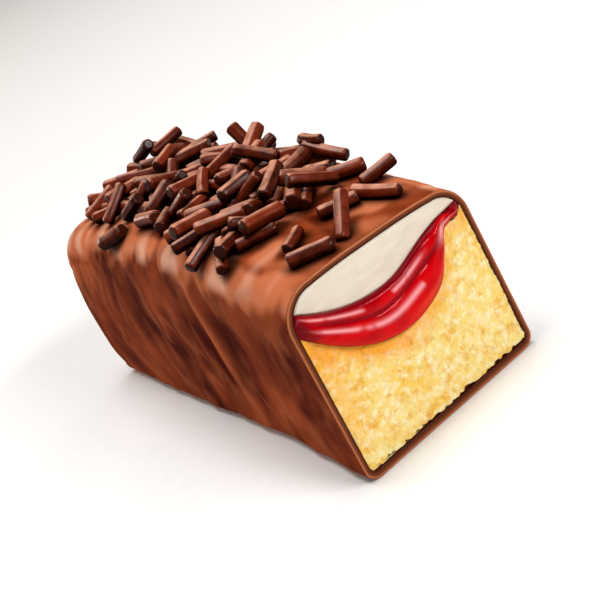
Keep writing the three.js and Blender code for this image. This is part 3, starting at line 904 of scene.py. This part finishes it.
def build_sponge(settings):
    soak_depth = settings.soak_depth / MM
    columns, rows = SPONGE_GRID
    points, faces, loop = cut_face(SPONGE_GRID, sponge_face)
    column, row = np.divmod(np.arange(len(points)), rows)
    flat = points * [1, 0, 1]
    near, second, share = cells_at(flat, *PORES)
    fine_near, fine_second, fine_share = cells_at(flat + [0, 3, 0], *SMALL_PORES)
    big = smooth((second - near) / 0.35) * np.clip(share - 0.45, 0, 1) * 0.9
    small = smooth((fine_second - fine_near) / 0.4) * fine_share * 0.35
    grain = noise_at(flat, *CRUMB_GRAIN)
    swell = noise_at(flat, *CRUMB_SWELLS)
    depth = settings.pore_depth / MM * (big + small) + 0.04 * grain + 0.12 * swell + 0.12
    # The crumb breaks away along the coat's floor, and here and there along its walls.
    from_floor = points[:, 2] - COAT_FLOOR
    from_side = np.minimum(column, columns - 1 - column) * COLUMN_STEP
    from_top = (rows - 1 - row) * ROW_STEP
    ragged = noise_at(flat, *RAGGED_EDGE) + 0.6 * noise_at(flat, *RAGGED_BAYS)
    reach = 0.35 + 0.5 * np.clip(ragged, -0.4, 1)
    broken = smooth((reach - np.minimum(from_floor, from_side + 1.1)) / 0.25)
    depth = depth + broken * 0.9
    points[:, 1] += np.where(from_top < 0.4, np.minimum(depth, 0.25), depth)
    pit = np.clip((big + small) * 1.1 + 0.25 * grain, 0, 1)
    # Syrup: a band under the jam that fades to the right, and a fainter one down the left wall.
    blur = noise_at(flat, *SYRUP_BLUR)
    x, z = points[:, 0], points[:, 2]
    below_jam = trough_at(x) - z
    leftness = smooth((9 - x) / 16)
    under_jam = smooth(1 - (below_jam - 1.6 * blur) / soak_depth) * (0.55 + 0.45 * leftness)
    from_wall = column * COLUMN_STEP - 1.6 * blur
    by_wall = 0.45 * smooth(1 - from_wall / (1.3 * soak_depth)) * smooth((z - 3) / 9)
    values = {"pit": pit, "broken": broken, "soaked": np.clip(under_jam + by_wall, 0, 1)}
    return run_back("sponge_crumb", points, faces, loop, np.zeros(len(points)), values)


def jam_ceiling_at(x):
    return np.minimum(jam_top_at(x), roof_at(x))


def build_jam(settings):
    first, last = layer_ends(trough_at, jam_ceiling_at, 0.06)
    bulge = settings.bulge / MM

    def jam_face(u, v):
        x = first + (last - first) * u
        low = trough_at(x)
        high = jam_ceiling_at(x)
        # Towards its right end the jam is pinched to a thread, and ends in a small bead.
        neck = hump(x, NECK_X, 0.75)
        centre = (low + high) / 2
        low = low + (centre - low) * 0.5 * neck
        high = high + (centre - high) * 0.45 * neck
        thick = high - low
        z = low + thick * v
        swell = half_round(v, 0.5, 0.5)
        ends = smooth((x - first) / 2.2) * smooth((last - x) / 1.4)
        # Two long ridges run along it, a broad one below and a narrow one above, with a crease between them.
        crease = CREASE + crease_wander(x)
        low_ridge = half_round(v, crease / 2, crease / 2 + 0.03)
        top_ridge = 0.75 * half_round(v, (1 + crease) / 2, (1 - crease) / 2 + 0.03)
        ridged = np.sqrt(low_ridge**2 + top_ridge**2)
        share = smooth((x + 15.5) / 3) * smooth((12 - x) / 5)
        form = swell + (np.minimum(ridged, 1) - swell) * share
        forward = bulge * form * smooth(thick / 5.5) * ends + 0.35 * swell * ends
        swells = noise_at(xyz(x, 0, z), *JAM_SWELLS)
        ripples = noise_at(xyz(x, 0, z), *JAM_RIPPLES)
        forward = forward + (0.2 * swells + 0.05 * ripples) * swell * ends
        return xyz(x, CUT_Y + 0.1 - forward, z)

    points, faces, loop = cut_face(JAM_GRID, jam_face)
    rows = JAM_GRID[1]
    share = (np.arange(len(points)) % rows) / (rows - 1)
    x = points[:, 0]
    wander = crease_wander(x)
    to_wall = smooth((x - first) / 3.5) * smooth((last - x) / 4)
    # Painted shade: darker along the top and bottom edges, towards the walls, and in the crease between the
    # ridges.
    jam_unshaded = smooth((1 - share) / 0.14) * smooth(share / 0.06) * to_wall
    jam_unshaded = jam_unshaded * (1 - 0.75 * hump(share, CREASE + wander, 0.06) * smooth((x + 15) / 3))
    # A painted orange glow along the foot, where light would come through.
    glow = hump(share, 0.2, 0.07) * smooth((x + 2) / 8) * to_wall
    # Painted highlights: paler strokes along both ridges, and across the pinched neck.
    gleam = noise_at(xyz(x, 0, 2 * share), *JAM_GLEAMS)
    low_line = hump(share, 0.47 + wander, 0.055) * smooth(0.75 + 2.2 * gleam)
    top_line = hump(share, 0.85 + wander / 2, 0.04) * smooth(0.5 - 2.6 * gleam) * smooth((9 - x) / 4)
    neck_line = hump(share, 0.6, 0.1) * hump(x, 12.2, 1.3)
    painted_gleam = np.clip(low_line + top_line + neck_line, 0, 1) * to_wall
    values = {"jam_unshaded": jam_unshaded, "glow": glow, "painted_gleam": painted_gleam}
    return run_back("jam_gel", points, faces, loop, np.zeros(len(points)), values)


def build_cream(settings):
    first, last = layer_ends(jam_top_at, roof_at, 0.04)
    smear = settings.smear_depth / MM

    def cream_face(u, v):
        x = first + (last - first) * u
        low = jam_top_at(x) - SNUG
        high = roof_at(x)
        z = low + (high - low) * v
        aslant = xyz(x + 0.5 * z, 0, z)
        strokes = noise_at(aslant, *KNIFE_STROKES)
        swells = noise_at(aslant, *CREAM_SWELLS)
        rim = smooth((1 - v) * (high - low) / 0.5) * smooth(v * (high - low) / 0.4)
        forward = -0.2 + rim * (0.26 + smear * strokes + 0.16 * swells)
        return xyz(x, CUT_Y - forward, z)

    points, faces, loop = cut_face(CREAM_GRID, cream_face)
    rows = CREAM_GRID[1]
    # The higher a point lies in the cream, the more it rises with the dome of the bar's top.
    share = (np.arange(len(points)) % rows) / (rows - 1)
    return run_back("whipped_cream", points, faces, loop, share, {})


# ------------------------------------------------------------------ materials


def new_material(name):
    material = bpy.data.materials.new(name)
    material.use_nodes = True
    tree = material.node_tree
    tree.nodes.clear()
    shader = add(tree, "ShaderNodeBsdfPrincipled")
    add(tree, "ShaderNodeOutputMaterial", Surface=shader)
    return material, tree, shader


def speckle(tree, size_mm, detail=2.0, stretch=None, rough=0.5):
    """Noise whose blobs measure about size_mm, read at the object's own coordinates."""
    place = add(tree, "ShaderNodeTexCoord").outputs["Object"]
    if stretch:
        place = add(tree, "ShaderNodeMapping", Vector=place, Scale=stretch)
    scale = 1 / (size_mm * MM)
    return add(tree, "ShaderNodeTexNoise", Vector=place, Scale=scale, Detail=detail, Roughness=rough)


def shown(tree, mask, low=0.0, high=1.0, least=0.0, most=1.0):
    """How strongly a thing shows, from least to most with the mask. A name reads the piece's attribute."""
    if isinstance(mask, str):
        mask = add(tree, "ShaderNodeAttribute", {"attribute_name": mask}).outputs["Fac"]
    return add(tree, "ShaderNodeMapRange", i0=mask, i1=low, i2=high, i3=least, i4=most)


def layer(tree, below, colour, mask, low=0.0, high=1.0, most=1.0):
    """Lays a colour over what is below it, as strongly as the mask shows."""
    under, over = (c if isinstance(c, bpy.types.NodeSocket) else (*c, 1.0) for c in (below, colour))
    strength = shown(tree, mask, low, high, most=most)
    return add(tree, "ShaderNodeMix", {"data_type": "RGBA"}, i0=strength, i6=under, i7=over).outputs[2]


def mottled(tree, name, pattern, amount):
    """A piece's attribute, made higher and lower by the amount as the pattern goes."""
    change = shown(tree, pattern, 0.3, 0.7, -amount, amount)
    return add(tree, "ShaderNodeMath", {"operation": "ADD"}, i0=shown(tree, name), i1=change)


def fine_relief(tree, shader, size_mm, detail, depth_mm, strength):
    """Unevenness too fine for the mesh."""
    height = speckle(tree, size_mm, detail)
    bump = add(tree, "ShaderNodeBump", Strength=strength, Distance=depth_mm * MM, Height=height)
    fill(tree, shader, Normal=bump)


# Milk chocolate, poured over the cake and set in the air: satin, redder and darker where it lies thick,
# with pale threads where it ran, a painted highlight over the shoulders, painted sheen on the top and the
# shoulders, and painted shade round the strands. Its cut edge is matt, with a painted highlight along its
# outer line.
def poured_milk_chocolate(settings):
    material, tree, shader = new_material("poured_milk_chocolate")
    tone = mottled(tree, "tone", speckle(tree, 2.2, 4, (1.0, 1.0, 0.5)), 0.1)
    skin = layer(tree, settings.groove_colour, settings.crest_colour, tone)
    skin = layer(tree, skin, settings.streak_colour, "streak", most=0.3)
    # Painted highlight over the shoulders, and painted sheen on the top.
    skin = layer(tree, skin, settings.painted_highlight_colour, "painted_highlight", most=0.8)
    # Painted sheen: the palest patches along the shoulders.
    skin = layer(tree, skin, settings.sheen_colour, "glint", most=0.6)
    # Painted shade round and under the strands.
    skin = layer(tree, skin, settings.shade_colour, "strand_shade", most=0.9)
    # The matt cut edge, with a painted highlight along its outer line, darker towards the inside.
    edge = layer(tree, settings.edge_dark_colour, settings.edge_pale_colour, "rim")
    fill(
        tree, shader, Base_Color=layer(tree, skin, edge, "cut_edge"),
        Roughness=shown(tree, "cut_edge", least=0.36, most=0.6), IOR=1.46, Specular_IOR_Level=0.0,
        Coat_Weight=0.035, Coat_IOR=1.8, Coat_Roughness=0.27,
    )
    fine_relief(tree, shader, 0.9, 4, 0.05, 0.4)
    return material


# Chocolate strands, pressed through a die: satin, with a painted highlight on top and painted shade, nearly
# black, on their undersides, dark on their broken ends, and each a little paler or darker than the next.
def pressed_dark_strand(settings):
    material, tree, shader = new_material("pressed_dark_strand")
    patch = speckle(tree, 2.0, 3)
    body = layer(tree, settings.dark_colour, settings.light_colour, mottled(tree, "shade", patch, 0.3))
    # Painted highlight on the strands' tops, broken up in patches.
    on_top = shown(tree, "upward", 0.74, 0.99)
    highlight_patches = shown(tree, patch, 0.3, 0.6, 0.4, 1.0)
    top_highlight = add(tree, "ShaderNodeMath", {"operation": "MULTIPLY"}, i0=on_top, i1=highlight_patches)
    highlighted = layer(tree, body, settings.top_highlight_colour, top_highlight)
    # Painted shade on the undersides, nearly black.
    under = layer(tree, highlighted, settings.underside_shade_colour, "upward", 0.25, -0.45)
    fill(
        tree, shader, Base_Color=layer(tree, under, settings.end_colour, "end", most=0.8),
        Roughness=shown(tree, patch, 0.3, 0.7, 0.22, 0.36), IOR=1.5,
        Specular_IOR_Level=shown(tree, "upward", -0.1, 0.6, 0.02, 0.2),
    )
    fine_relief(tree, shader, 0.5, 3, 0.04, 0.4)
    return material


# Yellow sponge, baked and cut: matt, with pale flecks where the crumb's walls broke off, deeper yellow
# between them and as painted shade in its pores, stained orange where it drew syrup from the jam, and with
# painted shade where crumbs broke away by the coat.
def cut_sponge_crumb(settings):
    material, tree, shader = new_material("cut_sponge_crumb")
    pale = speckle(tree, 1.5, 3, rough=0.62)
    deep = speckle(tree, 1.9, 3, (1.0, 1.0, 1.15), 0.6)
    crumb = layer(tree, settings.crumb_colour, settings.light_colour, speckle(tree, 8, 2), 0.35, 0.65)
    crumb = layer(tree, crumb, settings.pore_colour, deep, 0.5, 0.66, 0.75)
    crumb = layer(tree, crumb, settings.wall_colour, pale, 0.46, 0.68, 0.8)
    # Painted shade: the pores are laid deeper yellow as deep as they go.
    crumb = layer(tree, crumb, settings.pore_colour, "pit", 0.35, 1, 0.5)
    crumb = layer(tree, crumb, settings.soaked_colour, "soaked", most=0.85)
    # Painted shade in the ragged gap where the crumb broke away from the coat.
    crumb = layer(tree, crumb, settings.crumb_gap_shade_colour, "broken", 0.2, 1, 0.9)
    fill(
        tree, shader, Base_Color=crumb, Roughness=0.9, Specular_IOR_Level=0.15, Subsurface_Weight=0.2,
        Subsurface_Scale=0.8 * MM, Subsurface_Radius=(1.0, 0.7, 0.35),
    )
    fine_relief(tree, shader, 0.4, 3, 0.06, 0.5)
    return material


# Strawberry jam gel, boiled and set: wet and clear, bright red, with painted shade against the cream and the
# coat and in the crease between its ridges, a painted orange glow along its foot, where light would come
# through, and painted highlights along its ridges.
def set_jam_gel(settings):
    material, tree, shader = new_material("set_jam_gel")
    gel = layer(tree, settings.deep_colour, settings.bright_colour, "jam_unshaded")
    gel = layer(tree, gel, settings.deep_colour, speckle(tree, 3.2, 2, (0.6, 1, 1.4)), 0.45, 0.7, 0.45)
    gel = layer(tree, gel, settings.glow_colour, "glow", most=0.45)
    # Painted highlights along the ridges.
    gel = layer(tree, gel, settings.crest_colour, "painted_gleam", most=0.8)
    fill(
        tree, shader, Base_Color=gel, Roughness=0.13, IOR=1.42, Specular_IOR_Level=0.16,
        Specular_Tint=(1.0, 0.42, 0.42, 1.0), Subsurface_Weight=0.12, Subsurface_Scale=1.2 * MM,
        Subsurface_Radius=(1.0, 0.08, 0.05),
    )
    fine_relief(tree, shader, 1.6, 2, 0.08, 0.5)
    return material


# Whipped cream, spread and cut: ivory, soft and close, with the faint strokes of the knife.
def cut_whipped_cream(settings):
    material, tree, shader = new_material("cut_whipped_cream")
    strokes = speckle(tree, 2.4, 3, (0.5, 1, 1.6))
    cream = layer(tree, settings.shade_colour, settings.cream_colour, strokes, 0.35, 0.65)
    fill(
        tree, shader, Base_Color=cream, Roughness=shown(tree, strokes, 0.3, 0.7, 0.42, 0.58),
        Subsurface_Weight=0.4, Subsurface_Scale=1.5 * MM, Subsurface_Radius=(1.0, 0.85, 0.7),
    )
    fine_relief(tree, shader, 0.6, 3, 0.05, 0.4)
    return material


# Matt painted board, rolled: an even pale ground with a trace of roller grain.
def matt_pale_board(settings):
    material, tree, shader = new_material("matt_pale_board")
    board = layer(tree, settings.floor_colour, settings.grain_colour, speckle(tree, 3, 3), 0.3, 0.7, 0.12)
    fill(tree, shader, Base_Color=board, Roughness=0.85, Specular_IOR_Level=0.2)
    return material


# ------------------------------------------------------------------ floor, light and camera

# The camera as fitted to the picture: its turn, its height angle and its tilt, and where the middle of the
# cut's lower edge stands before it: to the right, above the middle, and away.
CAMERA_AZIMUTH = 20.42
CAMERA_ELEVATION = 23.12
CAMERA_ROLL = 30.67
CAMERA_OFFSET = (24.99, -17.85, 224.24)
CAMERA_LENS = 84.0
CAMERA_SENSOR = 36.0


def place_camera():
    a, e, r = (math.radians(v) for v in (CAMERA_AZIMUTH, CAMERA_ELEVATION, CAMERA_ROLL))
    ahead = Vector((math.sin(a) * math.cos(e), math.cos(a) * math.cos(e), -math.sin(e)))
    level = Vector((math.cos(a), -math.sin(a), 0))
    above = level.cross(ahead)
    right = math.cos(r) * level - math.sin(r) * above
    up = math.sin(r) * level + math.cos(r) * above
    x, y, away = CAMERA_OFFSET
    foot = Vector((0, CUT_Y, 0))
    place = (foot - right * x - up * y - ahead * away) * MM
    data = bpy.data.cameras.new("camera")
    data.lens = CAMERA_LENS
    data.sensor_width = CAMERA_SENSOR
    data.sensor_fit = "HORIZONTAL"
    data.clip_start = 0.01
    camera = link_object("camera", data)
    camera.matrix_world = Matrix.Translation(place) @ Matrix((right, up, -ahead)).transposed().to_4x4()
    bpy.context.scene.camera = camera


def soft_light(name, place, size, power, tint):
    data = bpy.data.lights.new(name, "AREA")
    data.shape = "RECTANGLE"
    data.size, data.size_y = size
    data.energy = power
    data.color = tint
    light = link_object(name, data)
    light.location = place
    light.rotation_euler = (Vector(LIGHT_AIM) - Vector(place)).to_track_quat("-Z", "Y").to_euler()


# Soft boxes: where each stands in metres, its two sides, its share of the power, and its tint. The key lights
# the cut from the front right, and the low one behind gives the coat's shoulder and top their sheen.
SOFT_LIGHTS = [
    ("key", (0.30, -0.70, 0.52), (0.42, 0.1), 8.6, (1.0, 0.985, 0.965)),
    ("overhead", (0.02, 0.05, 0.85), (0.5, 0.5), 10.5, (1.0, 0.99, 0.975)),
    ("back_sheen", (-0.34, 0.78, 0.27), (0.4, 0.1), 3.8, (1.0, 0.8, 0.66)),
    ("left_fill", (-0.85, -0.25, 0.35), (0.2, 0.4), 0.8, (1.0, 0.85, 0.7)),
]
LIGHT_AIM = (0, 0, 0.015)
ROOM_TINT = (0.95, 0.97, 1.0, 1)
FLOOR_DROP = 0.02
FLOOR_STEPS = 24


def build_stage(settings):
    half = settings.floor_size / 2 / MM
    side = np.linspace(-half, half, FLOOR_STEPS + 1)
    x, y = np.meshgrid(side, side, indexing="ij")
    faces = grid_faces(np.arange(x.size).reshape(x.shape))
    floor = mesh_object("floor", xyz(x, y, -FLOOR_DROP).reshape(-1, 3), faces, {})
    floor.data.materials.append(matt_pale_board(settings))
    world = bpy.data.worlds.new("soft_room")
    world.use_nodes = True
    background = world.node_tree.nodes["Background"]
    background.inputs["Color"].default_value = ROOM_TINT
    background.inputs["Strength"].default_value = settings.room_light
    bpy.context.scene.world = world
    for name, place, size, share, tint in SOFT_LIGHTS:
        soft_light(name, place, size, share * settings.light_power, tint)
    bpy.context.scene.view_settings.view_transform = "Standard"
    place_camera()


# ------------------------------------------------------------------ settings


def length(name, description, value_mm, **more):
    return FloatProperty(
        name=name, description=description, default=value_mm * MM, subtype="DISTANCE", unit="LENGTH",
        precision=5, **more,
    )


def colour(name, description, value):
    return FloatVectorProperty(
        name=name, description=description, default=linear(value), subtype="COLOR", size=3, min=0, max=1
    )


class CoatSettings(bpy.types.PropertyGroup):
    wall: length("Wall", "Thickness of the chocolate coat at the sides and top", COAT_WALL)
    fold_depth: length("Fold Depth", "How deep the folds are in which the coat ran down", 0.35)
    drip_depth: length("Drip Depth", "How deep the finer drips between the folds are", 0.28)
    crest_colour: colour("Crest Colour", "Colour where the coat is pale", "#9c4724")
    groove_colour: colour("Groove Colour", "Colour where the coat is thick and dark", "#460b00")
    streak_colour: colour("Streak Colour", "Colour of the pale threads", "#b8683e")
    painted_highlight_colour: colour("Thin Colour", "Colour over the shoulders, where the coat is thin", "#c9744e")
    sheen_colour: colour("Sheen Colour", "Colour of the palest patches along the shoulders", "#e2b095")
    shade_colour: colour("Shade Colour", "Colour of the crumbs and shade round the strands", "#2a0702")
    edge_pale_colour: colour("Cut Edge Pale Colour", "Colour along the outside of the cut edge", "#b56a45")
    edge_dark_colour: colour("Cut Edge Dark Colour", "Colour along the inside of the cut edge", "#3c1004")


class StrandSettings(bpy.types.PropertyGroup):
    sides: IntProperty(name="Sides", description="How many flats a strand has", default=6, min=3)
    softness: FloatProperty(
        name="Edge Softness", description="Rounding of the edges, as a share of the radius", default=0.4
    )
    unevenness: length("Unevenness", "How far a strand's surface wanders", 0.12)
    lump_size: length("Lump Size", "Size of the lumps on a strand", 1.6)
    dark_colour: colour("Dark Colour", "Colour of the darkest strands", "#340a02")
    light_colour: colour("Light Colour", "Colour of the palest strands", "#74280f")
    top_highlight_colour: colour("Worn Colour", "Colour where a strand is rubbed", "#d49478")
    underside_shade_colour: colour("Under Colour", "Colour of the undersides", "#0d0200")
    end_colour: colour("End Colour", "Colour of the broken ends", "#2a0a03")


class SpongeSettings(bpy.types.PropertyGroup):
    pore_depth: length("Pore Depth", "Depth of the deepest pores in the cut face", 0.5)
    soak_depth: length("Soak Depth", "How far the jam's syrup has soaked in", 5.4)
    wall_colour: colour("Wall Colour", "Colour of the crumb's broken walls", "#f6ecc4")
    light_colour: colour("Light Colour", "Colour of the crumb where it is airy", "#f0da8e")
    crumb_colour: colour("Crumb Colour", "Colour of the crumb", "#efc65c")
    pore_colour: colour("Pore Colour", "Colour deep in the pores", "#e6a838")
    soaked_colour: colour("Soaked Colour", "Colour of the crumb that drew syrup", "#ee9820")
    crumb_gap_shade_colour: colour("Edge Colour", "Colour where the crumb broke away from the coat", "#4a1a08")


class JamSettings(bpy.types.PropertyGroup):
    bulge: length("Bulge", "How far the jam swells out of the cut", 1.45)
    bright_colour: colour("Bright Colour", "Colour where the jam is full and lit", "#cc0209")
    deep_colour: colour("Deep Colour", "Colour at the jam's edges", "#700210")
    glow_colour: colour("Glow Colour", "Colour where light comes through the jam's foot", "#e8431c")
    crest_colour: colour("Crest Colour", "Colour of the paler strokes along the ridges", "#f6a8ac")


class CreamSettings(bpy.types.PropertyGroup):
    smear_depth: length("Smear Depth", "Depth of the knife's strokes", 0.05)
    cream_colour: colour("Cream Colour", "Colour of the cream", "#e6dac9")
    shade_colour: colour("Shade Colour", "Colour of the cream's duller strokes", "#dccfbc")


class StageSettings(bpy.types.PropertyGroup):
    floor_size: FloatProperty(
        name="Floor Size", description="Side of the square floor", default=6.0, subtype="DISTANCE",
        unit="LENGTH",
    )
    floor_colour: colour("Floor Colour", "Colour of the floor", "#f0f0f0")
    grain_colour: colour("Grain Colour", "Colour of the floor's roller grain", "#dcdad6")
    room_light: FloatProperty(name="Room Light", description="Strength of the light all around", default=0.12)
    light_power: FloatProperty(name="Light Power", description="Power of a soft light's share", default=0.6)


# ------------------------------------------------------------------ operators


class CAKE_OT_coat(bpy.types.Operator):
    """Pour the chocolate coat over the bar"""

    bl_idname = "cake.coat"
    bl_label = "Chocolate Coat"

    def execute(self, context):
        settings = context.scene.cake_coat
        finish_piece(build_coat(settings), "chocolate_coating", poured_milk_chocolate(settings))
        return {"FINISHED"}


class CAKE_OT_strands(bpy.types.Operator):
    """Strew the chocolate strands over the top"""

    bl_idname = "cake.strands"
    bl_label = "Chocolate Strands"

    def execute(self, context):
        settings = context.scene.cake_strands
        material = pressed_dark_strand(settings)
        finish_piece(build_strands(settings, material), None, material)
        return {"FINISHED"}


class CAKE_OT_sponge(bpy.types.Operator):
    """Bake the sponge and cut its face"""

    bl_idname = "cake.sponge"
    bl_label = "Sponge"

    def execute(self, context):
        settings = context.scene.cake_sponge
        finish_piece(build_sponge(settings), "sponge_cake", cut_sponge_crumb(settings))
        return {"FINISHED"}


class CAKE_OT_jam(bpy.types.Operator):
    """Line the trough with jam"""

    bl_idname = "cake.jam"
    bl_label = "Jam"

    def execute(self, context):
        settings = context.scene.cake_jam
        finish_piece(build_jam(settings), "jam_filling", set_jam_gel(settings))
        return {"FINISHED"}


class CAKE_OT_cream(bpy.types.Operator):
    """Fill the trough with cream"""

    bl_idname = "cake.cream"
    bl_label = "Cream"

    def execute(self, context):
        settings = context.scene.cake_cream
        finish_piece(build_cream(settings), "cream_filling", cut_whipped_cream(settings))
        return {"FINISHED"}


class CAKE_OT_stage(bpy.types.Operator):
    """Lay the floor, and set the lights and the camera"""

    bl_idname = "cake.stage"
    bl_label = "Floor, Lights and Camera"

    def execute(self, context):
        build_stage(context.scene.cake_stage)
        return {"FINISHED"}


class CAKE_PT_panel(bpy.types.Panel):
    bl_label = "Snack Cake"
    bl_idname = "CAKE_PT_panel"
    bl_space_type = "VIEW_3D"
    bl_region_type = "UI"
    bl_category = "Snack Cake"

    def draw(self, context):
        for group, _, operator in GROUPS:
            box = self.layout.box()
            box.operator(operator)
            settings = getattr(context.scene, group)
            for key in settings.bl_rna.properties.keys():
                if key not in ("rna_type", "name"):
                    box.prop(settings, key)


GROUPS = [
    ("cake_coat", CoatSettings, "cake.coat"),
    ("cake_strands", StrandSettings, "cake.strands"),
    ("cake_sponge", SpongeSettings, "cake.sponge"),
    ("cake_jam", JamSettings, "cake.jam"),
    ("cake_cream", CreamSettings, "cake.cream"),
    ("cake_stage", StageSettings, "cake.stage"),
]
OPERATORS = [CAKE_OT_coat, CAKE_OT_strands, CAKE_OT_sponge, CAKE_OT_jam, CAKE_OT_cream, CAKE_OT_stage]


def register():
    for name, settings, _ in GROUPS:
        bpy.utils.register_class(settings)
        setattr(bpy.types.Scene, name, PointerProperty(type=settings))
    for operator in OPERATORS:
        bpy.utils.register_class(operator)
    bpy.utils.register_class(CAKE_PT_panel)


def unregister():
    bpy.utils.unregister_class(CAKE_PT_panel)
    for operator in reversed(OPERATORS):
        bpy.utils.unregister_class(operator)
    for name, settings, _ in reversed(GROUPS):
        delattr(bpy.types.Scene, name)
        bpy.utils.unregister_class(settings)


def main():
    register()
    bpy.ops.cake.coat()
    bpy.ops.cake.strands()
    bpy.ops.cake.sponge()
    bpy.ops.cake.jam()
    bpy.ops.cake.cream()
    bpy.ops.cake.stage()


if __name__ == "__main__":
    main()
